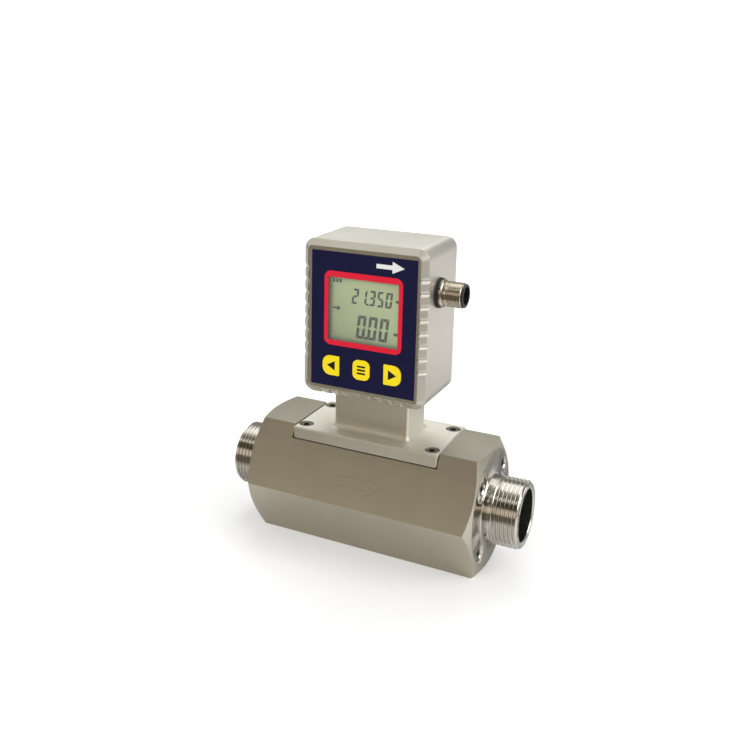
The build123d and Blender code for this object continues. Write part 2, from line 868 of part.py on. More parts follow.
def plug_cross(x):
    """Plane across the round connector at x, facing +X."""
    return Plane(origin=(x, plug_y, plug_height), x_dir=(0, 1, 0), z_dir=(1, 0, 0))


finish(
    plug_ring(
        [
            (wall_outside, plug_thread_radius + fit_gap),
            (wall_outside, plug_washer_radius),
            (washer_face, plug_washer_radius),
            (washer_face, plug_thread_radius + fit_gap),
        ]
    ),
    "connector_washer",
)
finish(
    plug_ring(
        [
            (plug_back, plug_bore_radius),
            (plug_back, plug_thread_radius),
            (washer_face, plug_thread_radius),
            (washer_face, plug_flange_radius),
            (flange_face, plug_flange_radius),
            (flange_face, plug_groove_radius),
            (groove_end, plug_groove_radius),
            (groove_end, plug_thread_radius),
            (shell_end - plug_shell_edge, plug_thread_radius),
            (shell_end, plug_thread_radius - plug_shell_edge),
            (shell_end, plug_bore_radius),
        ]
    ),
    "connector_shell",
)

pin_spots = square_spots(*[plug_pin_circle * cos(radians(45))] * 2)
# The insulating insert lines the shell and ends in a collar over the shell's edge
with BuildPart() as connector_insert:
    with BuildSketch(plug_cross(insert_back)):
        Circle(plug_bore_radius - fit_gap)
    extrude(amount=shell_end - insert_back)
    with BuildSketch(plug_cross(shell_end)):
        Circle(plug_collar_radius)
    extrude(amount=plug_collar_length)
    fillet(connector_insert.edges().sort_by(Axis.X)[-1], plug_collar_rounding)
    with BuildSketch(plug_cross(plug_end)):
        Circle(plug_cavity_radius)
    extrude(amount=-plug_cavity_depth, mode=Mode.SUBTRACT)
    with BuildSketch(plug_cross(insert_back)):
        with Locations(*pin_spots):
            Circle(plug_pin_radius)
    extrude(amount=insert_front - insert_back, mode=Mode.SUBTRACT)
finish(connector_insert.part, "connector_insert")

pin_back = plug_back - plug_pin_overhang
with BuildPart() as connector_pins:
    with BuildSketch(plug_cross(pin_back)):
        with Locations(*pin_spots):
            Circle(plug_pin_radius)
    extrude(amount=plug_end - plug_pin_inset - pin_back)
finish(connector_pins.part, "connector_pins")

with BuildPart() as connector_nut:
    with BuildSketch(plug_cross(wall_inside)):
        RegularPolygon(plug_nut_across / 2, 6, major_radius=False)
        Circle(plug_thread_radius + fit_gap, mode=Mode.SUBTRACT)
    extrude(amount=-plug_nut_thickness)
finish(connector_nut.part, "connector_nut")

# Header for the connector's leads, and one lead from each pin down to it
lead_y = board_back + leads_header_depth / 2
with BuildPart() as leads_header:
    with BuildSketch(front_plane(board_back, leads_header_top - leads_header_height / 2)):
        with Locations((leads_header_x, 0)):
            Rectangle(lead_count * lead_pitch + 2 * leads_header_margin, leads_header_height)
    extrude(amount=-leads_header_depth)
finish(leads_header.part, "leads_header")

leads = []
for order, (pin_y, pin_z) in enumerate(sorted(pin_spots, key=lambda spot: (spot[1], spot[0]))):
    lead_x = leads_header_x + lead_pitch * ((lead_count - 1) / 2 - order)
    with BuildPart() as lead:
        with BuildLine():
            FilletPolyline(
                (pin_back, plug_y + pin_y, plug_height + pin_z),
                (lead_x, plug_y + pin_y, plug_height + pin_z),
                (lead_x, lead_y, leads_header_top + lead_drop),
                (lead_x, lead_y, leads_header_top),
                radius=list(lead_bend_radii),
            )
        with BuildSketch(plug_cross(pin_back)):
            with Locations((pin_y, pin_z)):
                Circle(lead_radius)
        sweep()
    leads.append(lead.part)
connector_leads = Compound(children=leads)
finish(connector_leads, "connector_leads")
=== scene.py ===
"""Flow sensor: the dressed model of a threaded, milled pipe body with a display head.

Lengths are metres. X runs along the pipe with the flow, Y from the display to the back, Z is up.
"""

from math import cos, pi, radians, sin, tau

import bmesh
import bpy
from bpy.props import FloatProperty, FloatVectorProperty, PointerProperty
from bpy.types import Operator, Panel, PropertyGroup
from mathutils import Matrix, Vector


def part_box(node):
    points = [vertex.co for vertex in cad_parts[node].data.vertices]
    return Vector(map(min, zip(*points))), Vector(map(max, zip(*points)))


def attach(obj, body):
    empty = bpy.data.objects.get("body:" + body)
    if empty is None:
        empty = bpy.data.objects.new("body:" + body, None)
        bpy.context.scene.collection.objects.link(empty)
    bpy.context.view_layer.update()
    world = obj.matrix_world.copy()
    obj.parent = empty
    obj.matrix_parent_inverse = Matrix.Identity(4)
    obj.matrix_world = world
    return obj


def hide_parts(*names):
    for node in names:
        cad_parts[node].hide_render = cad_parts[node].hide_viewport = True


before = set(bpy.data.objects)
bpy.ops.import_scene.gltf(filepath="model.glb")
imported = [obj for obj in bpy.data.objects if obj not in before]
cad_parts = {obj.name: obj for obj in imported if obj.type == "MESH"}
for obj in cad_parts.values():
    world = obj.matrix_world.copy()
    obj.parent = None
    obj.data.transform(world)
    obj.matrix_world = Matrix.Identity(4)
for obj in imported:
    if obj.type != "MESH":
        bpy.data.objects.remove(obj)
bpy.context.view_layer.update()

bl_info = {
    "name": "Flow sensor",
    "version": (1, 0, 0),
    "blender": (4, 5, 0),
    "location": "View3D > Sidebar > Flow sensor",
    "description": "Dresses the CAD frame of an in-line flow sensor",
    "category": "Object",
}

MM = 0.001

# Distances below which vertices of CAD nodes and of own meshes are joined, and slivers are dissolved
CAD_WELD = 0.001 * MM
WELD = 0.0005 * MM
SLIVER = 0.0002 * MM

SHARP_ANGLE = radians(30)
WHITE = (1.0, 1.0, 1.0)

body_low, body_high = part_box("flow_body")
PIPE_HEIGHT = (body_low.z + body_high.z) / 2


def length(name, text, default):
    """A size in metres that the sidebar shows."""
    return FloatProperty(name=name, description=text, default=default, min=0.0, precision=5, unit="LENGTH")


def colour(name, text, default):
    """A linear colour that the sidebar shows."""
    return FloatVectorProperty(
        name=name, description=text, default=default, size=3, min=0.0, max=1.0, subtype="COLOR"
    )


class PipeEndSizes(PropertyGroup):
    """Sizes of the threads on both pipe ends."""

    pitch: length("Thread pitch", "Distance between two crests of the pipe thread", 2.0 * MM)
    plain: length("Plain length", "Unthreaded length past the collar", 0.2 * MM)
    root: length("Root", "Chamfer between the flange and the stub", 0.5 * MM)
    collar: length("Collar length", "Length of the smooth collar beside the flange", 2.9 * MM)
    chamfer: length("End chamfer", "Chamfer on the first turn", 1.1 * MM)
    edge: length("Bore edge", "Break of the bore's edge", 0.4 * MM)
    bore: length("Bore radius", "Radius of the flow bore", 12.7 * MM)
    radius: length("Thread radius", "Radius over the crests", 16.5 * MM)


class PlugSizes(PropertyGroup):
    """Sizes of the thread on the round plug."""

    pitch: length("Thread pitch", "Distance between two crests of the plug's thread", 1.0 * MM)
    plain: length("Plain length", "Unthreaded length past the collar", 0.2 * MM)
    collar: length("Collar length", "Length of the smooth collar beside the groove", 0.4 * MM)
    chamfer: length("End chamfer", "Chamfer at the open end", 0.4 * MM)
    bore: length("Bore radius", "Radius inside the shell", 4.9 * MM)
    radius: length("Thread radius", "Radius over the crests", 6.0 * MM)
    start: length("Thread start", "Start of the thread, from the middle of the sensor", 35.52 * MM)


class ScrewSizes(PropertyGroup):
    """Sizes of the socket screws."""

    head_radius: length("Head radius", "Radius of a cylinder head", 3.5 * MM)
    head_height: length("Head height", "Height of a cylinder head", 4.0 * MM)
    edge: length("Head edge", "Chamfer round the top of a cylinder head", 0.35 * MM)
    socket: length("Socket", "Width across the flats of the hexagon socket", 3.0 * MM)
    socket_depth: length("Socket depth", "Depth of the hexagon socket", 2.2 * MM)
    shank_radius: length("Shank radius", "Radius of the shank", 1.95 * MM)
    flat_head_radius: length("Flat head radius", "Radius of a countersunk head", 2.9 * MM)
    flat_head_height: length("Flat head height", "Height of a countersunk head", 1.4 * MM)
    flat_socket: length("Flat head socket", "Socket width of a countersunk screw", 2.0 * MM)
    flat_socket_depth: length("Flat socket depth", "Socket depth of a countersunk screw", 1.2 * MM)
    flat_shank_radius: length("Flat shank radius", "Shank radius of a countersunk screw", 1.45 * MM)
    flat_edge: length("Flat head edge", "Chamfer round the top of a countersunk head", 0.04 * MM)
    flat_sink: length("Flat head sink", "How far a countersunk head lies below its face", 0.01 * MM)


class PrintSizes(PropertyGroup):
    """Sizes of what is printed, engraved or shown on the display."""

    ink: length("Ink height", "Height of the ink on the film", 0.03 * MM)
    frame_width: length("Frame half width", "Half the width of the red frame", 20.1 * MM)
    frame_bottom: length("Frame bottom", "Height of the red frame's lower edge", 107.1 * MM)
    frame_top: length("Frame top", "Height of the red frame's upper edge", 143.6 * MM)
    frame_corner: length("Frame corner", "Corner radius of the red frame", 3.5 * MM)
    opening_width: length("Opening half width", "Half the width of the red frame's opening", 18.0 * MM)
    opening_bottom: length("Opening bottom", "Height of the opening's lower edge", 109.7 * MM)
    opening_top: length("Opening top", "Height of the opening's upper edge", 140.7 * MM)
    opening_corner: length("Opening corner", "Corner radius of the opening", 0.3 * MM)
    key_relief: length("Key relief", "How far the keys stand in front of the film", 0.4 * MM)
    engraving: length("Engraved line", "Width of the lines of the flow arrow", 0.45 * MM)
    engraving_height: length("Line height", "Height of those lines over the facet", 0.02 * MM)
    slant: FloatProperty(
        name="Digit slant",
        description="Lean of the digits to the right",
        default=radians(6),
        subtype="ANGLE",
    )


class Colours(PropertyGroup):
    """Colours of the finishes."""

    milled: colour("Milled steel", "Body", (0.55, 0.52, 0.44))
    engraved: colour("Engraved lines", "Flow arrow on the body", (0.48, 0.45, 0.37))
    turned: colour("Turned steel", "Pipe ends and stem", (0.64, 0.62, 0.58))
    satin: colour("Satin steel", "Base plate and neck", (0.83, 0.81, 0.74))
    head: colour("Head coating", "Housing and rear cover", (0.8, 0.78, 0.73))
    screws: colour("Screws", "Socket screws", (0.3, 0.29, 0.26))
    nickel: colour("Nickel", "Shell of the round plug", (0.62, 0.57, 0.48))
    gold: colour("Gold", "Pins of the round plug", (0.8, 0.58, 0.24))
    leads: colour("Leads", "Insulation of the leads", (0.1, 0.1, 0.4))
    film: colour("Film", "Printed film", (0.007, 0.007, 0.042))
    keys: colour("Keys", "Raised keys", (0.98, 0.76, 0.012))
    red: colour("Red ink", "Frame round the display", (0.74, 0.01, 0.035))
    white: colour("White ink", "Mark on the film", (0.8, 0.8, 0.78))
    black: colour("Black ink", "Legends of the keys", (0.012, 0.012, 0.012))
    display: colour("Display", "Liquid crystal display", (0.43, 0.5, 0.25))
    crystal: colour("Dark crystal", "Digits and marks of the display", (0.03, 0.04, 0.03))
    rubber: colour("Rubber", "Gaskets, seals and washer", (0.02, 0.02, 0.02))
    plastic: colour("Black plastic", "Carrier, headers, switches and chip", (0.02, 0.02, 0.02))
    board: colour("Board", "Solder mask of both boards", (0.02, 0.14, 0.06))


def forward(operation):
    """Maths with the term first."""
    return lambda term, *others: term.nodes.math(operation, term, *others)


def reflected(operation):
    """Maths with the term last."""
    return lambda term, other: term.nodes.math(operation, other, term)


class Term:
    """One output of a node tree, with Python's arithmetic on it."""

    __add__ = forward("ADD")
    __radd__ = reflected("ADD")
    __sub__ = forward("SUBTRACT")
    __rsub__ = reflected("SUBTRACT")
    __mul__ = forward("MULTIPLY")
    __rmul__ = reflected("MULTIPLY")
    __truediv__ = forward("DIVIDE")
    __rtruediv__ = reflected("DIVIDE")
    __pow__ = forward("POWER")
    __gt__ = forward("GREATER_THAN")
    __lt__ = forward("LESS_THAN")
    __abs__ = forward("ABSOLUTE")
    fraction = forward("FRACT")
    at_least = forward("MAXIMUM")

    def __init__(self, nodes, socket):
        self.nodes = nodes
        self.socket = socket

    def __neg__(self):
        return self * -1.0

    def ramp(self, low, high):
        """0 below low and 1 above high, smooth between."""
        return self.nodes.add(
            "ShaderNodeMapRange",
            {"interpolation_type": "SMOOTHSTEP"},
            {"Value": self, "From Min": low, "From Max": high},
        )

    def other(self, name):
        """Another output of the same node."""
        return Term(self.nodes, self.socket.node.outputs[name])


class Nodes:
    """A node tree that is being built."""

    def __init__(self, tree):
        self.tree = tree
        tree.nodes.clear()

    def add(self, kind, settings=None, values=None, out=0):
        """A node of that type, with its settings made first and then its sockets' values or links."""
        node = self.tree.nodes.new(kind)
        for key, value in (settings or {}).items():
            if key == "stops":
                set_stops(node.color_ramp, value)
            else:
                setattr(node, key, value)
        for key, value in (values or {}).items():
            self.feed(node.inputs[key], value)
        return Term(self, node.outputs[out]) if len(node.outputs) else None

    def feed(self, socket, value):
        """A value or a link into one socket."""
        if isinstance(value, Term):
            self.tree.links.new(value.socket, socket)
        else:
            socket.default_value = value

    def math(self, operation, *values):
        """A Math node on the given values."""
        return self.add("ShaderNodeMath", {"operation": operation}, dict(enumerate(values)))

    def split(self, vector):
        """X, Y and Z of a vector, as three numbers."""
        x = self.add("ShaderNodeSeparateXYZ", values={0: vector})
        return [x, x.other("Y"), x.other("Z")]

    def vector(self, x, y, z):
        """A vector of three numbers."""
        return self.add("ShaderNodeCombineXYZ", values={0: x, 1: y, 2: z})

    def mix(self, factor, first, second):
        """A colour between two colours."""
        first, second = (value if isinstance(value, Term) else (*value, 1.0) for value in (first, second))
        return self.add("ShaderNodeMix", {"data_type": "RGBA"}, {0: factor, 6: first, 7: second}, out=2)

    def rays(self):
        """Whether a ray comes from the camera, also through glass, and whether it is a reflection."""
        camera = self.add("ShaderNodeLightPath", out="Is Camera Ray")
        return camera.at_least(camera.other("Is Transmission Ray")), camera.other("Is Glossy Ray")


def set_stops(ramp, stops):
    """Give a colour ramp its stops, as pairs of a place from 0 to 1 and a colour."""
    ramp.interpolation = "EASE"
    while len(ramp.elements) > 1:
        ramp.elements.remove(ramp.elements[-1])
    for index, (spot, tint) in enumerate(stops):
        element = ramp.elements.new(spot) if index else ramp.elements[0]
        element.position = spot
        element.color = (*tint, 1.0)


class Finish(Nodes):
    """A procedural material that is being built."""

    def __init__(self, name, base, **constants):
        self.material = bpy.data.materials.new(name)
        self.material.use_nodes = True
        super().__init__(self.material.node_tree)
        self.base = tuple(base)
        values = {socket.replace("_", " "): value for socket, value in constants.items()}
        shader = self.add("ShaderNodeBsdfPrincipled", values={"Base Color": (*self.base, 1.0), **values})
        self.surface = shader.socket.node
        self.add("ShaderNodeOutputMaterial", values={"Surface": shader})
        self.place = self.add("ShaderNodeTexCoord", out="Object")

    def axes(self):
        """X, Y and Z of the place, as three numbers."""
        return self.split(self.place)

    def noise(self, scale, detail=3.0, place=None):
        """Noise whose scale is turns per metre, one number or one for each axis."""
        place = place or self.place
        if isinstance(scale, tuple):
            place = self.add("ShaderNodeMapping", values={"Vector": place, "Scale": scale})
            scale = 1.0
        values = {"Vector": place, "Scale": scale, "Detail": detail, "Roughness": 0.55}
        return self.add("ShaderNodeTexNoise", values=values)

    def shades(self, factor, dark, light):
        """The base colour times a factor that runs from dark to light."""
        ends = [[min(1.0, value * share) for value in self.base] for share in (dark, light)]
        return self.mix(factor, *ends)

    def set(self, socket, value):
        """A value or a link into the surface."""
        self.feed(self.surface.inputs[socket], value)

    def bump(self, height, depth, edge=0.0):
        """Relief of that depth in metres, over edges that are rounded by the given radius."""
        values = {"Height": height, "Distance": depth, "Strength": 1.0}
        if edge:
            values["Normal"] = self.add("ShaderNodeBevel", {"samples": 6}, {"Radius": edge})
        self.set("Normal", self.add("ShaderNodeBump", values=values))

    def wear(self, fine, coarse, share, shades, roughness, relief):
        """Shades, roughness and relief from a fine and a coarse pattern; share is the fine one's part
        of the shades, and roughness holds the least value and what each pattern adds."""
        least, from_fine, from_coarse = roughness
        self.set("Base Color", self.shades(fine * share + coarse * (1.0 - share), *shades))
        self.set("Roughness", least + fine * from_fine + coarse * from_coarse)
        self.bump(fine, *relief)


def tool_rings(finish, along, outwards):
    """Rings of a turning tool about the pipe's axis, with their turns per metre along and outwards."""
    x, y, z = finish.axes()
    radius = (y**2.0 + (z - PIPE_HEIGHT) ** 2.0) ** 0.5
    return finish.noise(1.0, 3.0, finish.vector(x * along, radius * outwards, 0.0))


def milled_steel(base):
    """Milled flats with fine lines along the pipe, and turned cones at both ends."""
    finish = Finish("milled_steel", base, Metallic=1.0)
    normal = finish.add("ShaderNodeNewGeometry", out="True Normal")
    turned = abs(finish.split(normal)[0]) > 0.5
    along = finish.noise((14.0, 2300.0, 2300.0), 4.0)
    lines = turned * tool_rings(finish, 900.0, 1900.0) + (1.0 - turned) * along
    clouds = finish.noise(45.0)
    finish.wear(lines, clouds, 0.55, (0.84, 1.12), (0.27, 0.1, 0.07), (0.006 * MM, 0.22 * MM))
    return finish.material


def engraved_line(base):
    """Dull floor of an engraved line."""
    finish = Finish("engraved_line", base, Metallic=1.0)
    grain = finish.noise(2500.0)
    finish.set("Base Color", finish.shades(grain, 0.8, 1.2))
    finish.set("Roughness", 0.45 + grain * 0.1)
    return finish.material


def turned_steel(base, name="turned_steel"):
    """Bright steel with the rings of the turning tool."""
    finish = Finish(name, base, Metallic=1.0)
    rings = tool_rings(finish, 1500.0, 2100.0)
    smears = finish.noise(60.0)
    finish.wear(rings, smears, 0.6, (0.86, 1.1), (0.09, 0.09, 0.05), (0.004 * MM, 0.12 * MM))
    return finish.material


def satin_steel(base, name="satin_steel", grain=3800.0, roughness=0.46):
    """Bead-blasted metal: a fine even grain with faint clouds."""
    finish = Finish(name, base, Metallic=1.0)
    beads = finish.noise(grain)
    clouds = finish.noise(38.0)
    finish.wear(beads, clouds, 0.35, (0.9, 1.08), (roughness, 0.08, 0.05), (0.012 * MM, 0.25 * MM))
    return finish.material


def plated(base, name, roughness):
    """Plated or bare small metal parts, lightly rubbed."""
    finish = Finish(name, base, Metallic=1.0)
    rub = finish.noise(700.0, 4.0)
    stain = finish.noise(180.0, 2.0)
    finish.wear(rub, stain, 0.4, (0.8, 1.12), (roughness, 0.14, 0.0), (0.006 * MM,))
    return finish.material


def moulded(base, name, roughness, grain=2600.0):
    """Moulded plastic or rubber with a fine eroded grain."""
    finish = Finish(name, base)
    texture = finish.noise(grain)
    dust = finish.noise(150.0)
    finish.set("Base Color", finish.shades(dust, 0.85, 1.2))
    finish.set("Roughness", roughness + texture * 0.12)
    finish.bump(texture, 0.012 * MM)
    return finish.material


def printed_film(base, keys, key_back):
    """Navy film with a fine grain; what stands in front of key_back is a yellow key."""
    finish = Finish("printed_film", base, Specular_IOR_Level=0.2)
    key = finish.axes()[1] < key_back
    grain = finish.noise(3200.0)
    wear = finish.noise(90.0)
    navy = finish.shades(wear * 0.6 + grain * 0.4, 0.8, 1.25)
    yellow = finish.mix(wear, [value * 0.93 for value in keys], keys)
    finish.set("Base Color", finish.mix(key, navy, yellow))
    finish.set("Roughness", 0.42 + grain * 0.1)
    finish.bump(grain, 0.008 * MM, 0.2 * MM)
    return finish.material


def printed_ink(base, name):
    """Screen-printed ink: even, with the faint mottle of the mesh."""
    finish = Finish(name, base, Specular_IOR_Level=0.25)
    mottle = finish.noise(2400.0, 2.0)
    finish.set("Base Color", finish.shades(mottle, 0.94, 1.05))
    finish.set("Roughness", 0.38 + mottle * 0.1)
    finish.bump(mottle, 0.003 * MM)
    return finish.material


# How far the middle of the display's painted shade rim lies below the middle of the opening
SHADE_RIM_DROP = 0.2 * MM


def display_glass(base, sizes):
    """Grey-green display with faint cells, a painted shade rim and painted light to its upper right."""
    finish = Finish("display_glass", base, Roughness=0.35)
    x, _, z = finish.axes()
    middle = (sizes.opening_bottom + sizes.opening_top) / 2
    half_height = (sizes.opening_top - sizes.opening_bottom) / 2
    across = x / sizes.opening_width
    from_rim = (z - (middle - SHADE_RIM_DROP)) / half_height
    # Painted shade: the display darkens towards the edges of the opening, where the frame shades it
    rim = abs(across).ramp(0.9, 1.03).at_least(abs(from_rim).ramp(0.88, 1.02))
    # Painted light: the display is lighter towards the upper right and darker towards the lower left
    shade = (across + (z - middle) / half_height).ramp(-2.2, 1.2)
    cloud = finish.noise(60.0, 2.0)
    cells = (x * 3500.0).fraction() > 0.88
    inner = finish.shades(shade * 0.75 + cloud * 0.2 + cells * 0.05, 0.62, 1.05)
    # Painted shade: near the edges the colour is mixed towards a quarter of the base colour
    finish.set("Base Color", finish.mix(rim * 0.6, inner, [value * 0.25 for value in base]))
    return finish.material


def clear_window():
    """Clear window that shows mostly its reflections."""
    finish = Finish("clear_window", (0.95, 0.97, 0.95), IOR=1.49)
    smear = finish.noise(120.0)
    finish.set("Roughness", 0.03 + smear * 0.05)
    finish.set("Alpha", 0.04 + smear * 0.03)
    finish.material.surface_render_method = "BLENDED"
    return finish.material


def circuit_board(base):
    """Green board with tracks, pads and the glass weave below the mask."""
    finish = Finish("circuit_board", base)
    x, _, z = finish.axes()
    weave = finish.noise(1500.0, 2.0)
    seam = finish.add(
        "ShaderNodeTexVoronoi",
        {"feature": "DISTANCE_TO_EDGE", "distance": "EUCLIDEAN"},
        {"Vector": finish.vector(x, 0.0, z), "Scale": 260.0},
        out="Distance",
    )
    dots = {"Vector": finish.place, "Scale": 330.0}
    spot = finish.add("ShaderNodeTexVoronoi", values=dots, out="Distance")
    track = seam < 0.06
    pad = spot < 0.13
    green = finish.mix(track, finish.shades(weave, 0.8, 1.2), [value * 1.9 for value in base])
    finish.set("Base Color", finish.mix(pad, green, (0.72, 0.7, 0.62)))
    finish.set("Metallic", pad)
    finish.set("Roughness", 0.3 + weave * 0.1)
    finish.bump(track + weave * 0.2, 0.02 * MM)
    return finish.material


def new_piece(name, bm, material):
    """A bmesh as an object that rides on the body, smooth up to its sharp edges. Frees the bmesh."""
    for face in bm.faces:
        face.material_index = 0
        face.smooth = True
    mesh = bpy.data.meshes.new(name)
    bm.to_mesh(mesh)
    bm.free()
    mesh.materials.append(material)
    mesh.set_sharp_from_angle(angle=SHARP_ANGLE)
    piece = bpy.data.objects.new(name, mesh)
    bpy.context.scene.collection.objects.link(piece)
    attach(piece, "root")
    return piece


def merged(node):
    """A copy of a CAD node's mesh with its loose triangles joined."""
    bm = bmesh.new()
    bm.from_mesh(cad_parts[node].data)
    bmesh.ops.remove_doubles(bm, verts=bm.verts, dist=CAD_WELD)
    return bm


def dress(material, *nodes):
    """Give CAD nodes a finish in all their slots."""
    for node in nodes:
        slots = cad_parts[node].data.materials
        if not len(slots):
            slots.append(material)
        for index in range(len(slots)):
            slots[index] = material


def islands(node):
    """The box of each separate solid of a CAD node, as (lowest, highest) corners."""
    bm = merged(node)
    left = set(bm.verts)
    boxes = []
    while left:
        group = [left.pop()]
        for vert in group:
            for edge in vert.link_edges:
                other = edge.other_vert(vert)
                if other in left:
                    left.remove(other)
                    group.append(other)
        corners = [[pick(vert.co[axis] for vert in group) for axis in range(3)] for pick in (min, max)]
        boxes.append([Vector(corner) for corner in corners])
    bm.free()
    return sorted(boxes, key=lambda box: tuple(round(value, 5) for value in box[0]))


def ring_of(bm, columns, x, radius):
    """A ring of vertices about the X axis."""
    return [
        bm.verts.new((x, radius * cos(tau * column / columns), radius * sin(tau * column / columns)))
        for column in range(columns)
    ]


THREAD_PROFILE = (
    (0.0, 0.0),
    (0.0625, 0.0),
    (0.1, 0.08),
    (0.35, 0.9),
    (0.41, 1.0),
    (0.59, 1.0),
    (0.65, 0.9),
    (0.9, 0.08),
    (0.9375, 0.0),
)

# Depth of a thread as a share of its pitch
THREAD_DEPTH = 0.613


def skin(bm, rows):
    """Faces between rows of vertices."""
    for row, following in zip(rows, rows[1:]):
        for first, second, third, fourth in zip(row, row[1:], following[1:], following):
            bm.faces.new((first, second, third, fourth))


def threaded_tube(sizes, start, end, edge, columns):
    """A closed tube about X: a smooth collar, then a right-hand thread that fades in."""
    bm = bmesh.new()
    thread = start + sizes.collar
    depth = THREAD_DEPTH * sizes.pitch
    turns = int((end - thread) / sizes.pitch) + 2
    steps = [(turn + phase, drop) for turn in range(-1, turns + 1) for phase, drop in THREAD_PROFILE]

    def spot(step, drop, column):
        x = min(max((step + column / columns) * sizes.pitch, 0.0), end - thread) + thread
        fade = min(1.0, max(0.0, (x - thread - sizes.plain) / sizes.pitch))
        limit = sizes.radius - max(0.0, x - (end - sizes.chamfer))
        radius = min(sizes.radius - depth * drop * fade, limit)
        angle = tau * column / columns
        return bm.verts.new((x, radius * cos(angle), radius * sin(angle)))

    skin(bm, [[spot(step, drop, column) for column in range(columns + 1)] for step, drop in steps])
    profile = [
        (thread, sizes.radius),
        (start, sizes.radius),
        (start, sizes.bore),
        (end - edge, sizes.bore),
        (end, sizes.bore + edge),
        (end, sizes.radius - sizes.chamfer),
    ]
    rings = [ring_of(bm, columns, x, radius) for x, radius in profile]
    skin(bm, [[*ring, ring[0]] for ring in rings])
    bmesh.ops.remove_doubles(bm, verts=bm.verts, dist=WELD)
    bmesh.ops.dissolve_degenerate(bm, edges=bm.edges, dist=SLIVER)
    bmesh.ops.recalc_face_normals(bm, faces=bm.faces)
    return bm


def cut_and_closed(node, x, side=1):
    """A CAD node's mesh without what lies beyond x, with the cut closed."""
    bm = merged(node)
    everything = [*bm.verts, *bm.edges, *bm.faces]
    bmesh.ops.bisect_plane(bm, geom=everything, plane_co=(x, 0, 0), plane_no=(side, 0, 0), clear_outer=True)
    rim = [edge for edge in bm.edges if edge.is_boundary]
    bmesh.ops.triangle_fill(bm, use_beauty=True, edges=rim, normal=(side, 0, 0))
    bmesh.ops.recalc_face_normals(bm, faces=bm.faces)
    return bm


def joined(first, second, matrix):
    """The first bmesh with the second one added, placed by a matrix. Frees the second."""
    mesh = bpy.data.meshes.new("join")
    bmesh.ops.transform(second, matrix=matrix, verts=second.verts)
    second.to_mesh(mesh)
    second.free()
    first.from_mesh(mesh)
    bpy.data.meshes.remove(mesh)
    return first


def rounded(left, bottom, right, top, corner, steps=8):
    """Outline of a rectangle with round corners, counter-clockwise."""
    points = []
    for x, z, turn in (
        (right - corner, bottom + corner, -1),
        (right - corner, top - corner, 0),
        (left + corner, top - corner, 1),
        (left + corner, bottom + corner, 2),
    ):
        for step in range(steps + 1):
            angle = pi / 2 * (turn + step / steps)
            points.append((x + corner * cos(angle), z + corner * sin(angle)))
    return points


def inset(outline, width):
    """The outline moved inwards by a width, with mitred corners."""
    moved = []
    for index, point in enumerate(outline):
        before = Vector(outline[index - 1])
        here = Vector(point)
        after = Vector(outline[(index + 1) % len(outline)])
        into = (here - before).normalized()
        away = (after - here).normalized()
        normals = [Vector((-line.y, line.x)) for line in (into, away)]
        mitre = (normals[0] + normals[1]).normalized()
        moved.append(tuple(here + mitre * (width / mitre.dot(normals[0]))))
    return moved


def raise_shape(bm, place, height, outline, hole=None):
    """A thin closed plate of an outline, or of the band between it and a hole with as many points."""
    count = len(outline)
    loops = [outline, hole] if hole else [outline]
    low = [[bm.verts.new(place(u, v, 0.0)) for u, v in loop] for loop in loops]
    high = [[bm.verts.new(place(u, v, height)) for u, v in loop] for loop in loops]
    for index in range(count):
        after = (index + 1) % count
        bm.faces.new((low[0][index], low[0][after], high[0][after], high[0][index]))
        if hole:
            bm.faces.new((low[1][after], low[1][index], high[1][index], high[1][after]))
            bm.faces.new((high[0][index], high[0][after], high[1][after], high[1][index]))
            bm.faces.new((low[0][after], low[0][index], low[1][index], low[1][after]))
    if not hole:
        bm.faces.new(high[0])
        bm.faces.new(low[0][::-1])


def on_front(y):
    """Places (x, z) points on a plane that faces the viewer, at depth y."""
    return lambda u, v, w: (u, y - w, v)


def on_upper_facet(u, v, w):
    """Places (x, slope) points on the body's upper front facet, from its lower edge upwards."""
    lean = radians(30)
    corner = PIPE_HEIGHT / cos(lean)
    return u, v * sin(lean) - corner - w * cos(lean), PIPE_HEIGHT + v * cos(lean) + w * sin(lean)


def print_shapes(name, place, height, shapes, ink):
    """Thin plates as one piece; each shape is an outline, or an outline and its hole."""
    bm = bmesh.new()
    for shape in shapes:
        raise_shape(bm, place, height, *shape)
    return new_piece(name, bm, ink)


def in_metres(outline):
    """The outline's points, given in millimetres."""
    return [(u * MM, v * MM) for u, v in outline]


def rectangle(left, bottom, right, top):
    """Outline of a rectangle, counter-clockwise."""
    return [(left, bottom), (right, bottom), (right, top), (left, top)]


def arrow(tail, neck, tip, under, low, middle, high, over):
    """Outline of an arrow to the right, from the places of its ends and then its heights."""
    return [(tail, low), (neck, low), (neck, under), (tip, middle), (neck, over), (neck, high), (tail, high)]


# Arrows and the legends of the keys, in millimetres
BODY_ARROW = arrow(-9.3, 6.4, 13.5, 6.6, 9.4, 12.2, 14.8, 17.4)
FILM_ARROW = arrow(6.6, 14.6, 20.6, 145.5, 147.3, 148.35, 149.4, 151.2)
KEY_MIDDLE = 96.8
KEY_TRIANGLE = ((13.9, KEY_MIDDLE - 2.4), (18.1, KEY_MIDDLE), (13.9, KEY_MIDDLE + 2.4))
BAR_HALF_LENGTH = 2.2
BAR_HALF_HEIGHT = 0.45
BAR_STEP = 1.7
BAR_CORNER = 0.3

# Digits, then left edge, lower edge, width, height, advance and stroke in millimetres
DISPLAY_ROWS = (
    ("21.350", -7.2, 128.0, 3.4, 7.6, 4.3, 1.2),
    ("0.00", -4.7, 111.3, 4.6, 11.6, 5.8, 1.65),
)

# Small marks beside the digits, as outlines in millimetres
DISPLAY_MARKS = (
    *(rectangle(left, 137.6, left + 1.2, 139.4) for left in (-17.0, -15.3, -13.6)),
    arrow(-17.0, -14.6, -12.4, 123.8, 124.6, 125.0, 125.4, 126.2),
    rectangle(15.6, 131.0, 17.4, 132.3),
    rectangle(14.8, 115.2, 17.4, 116.6),
)

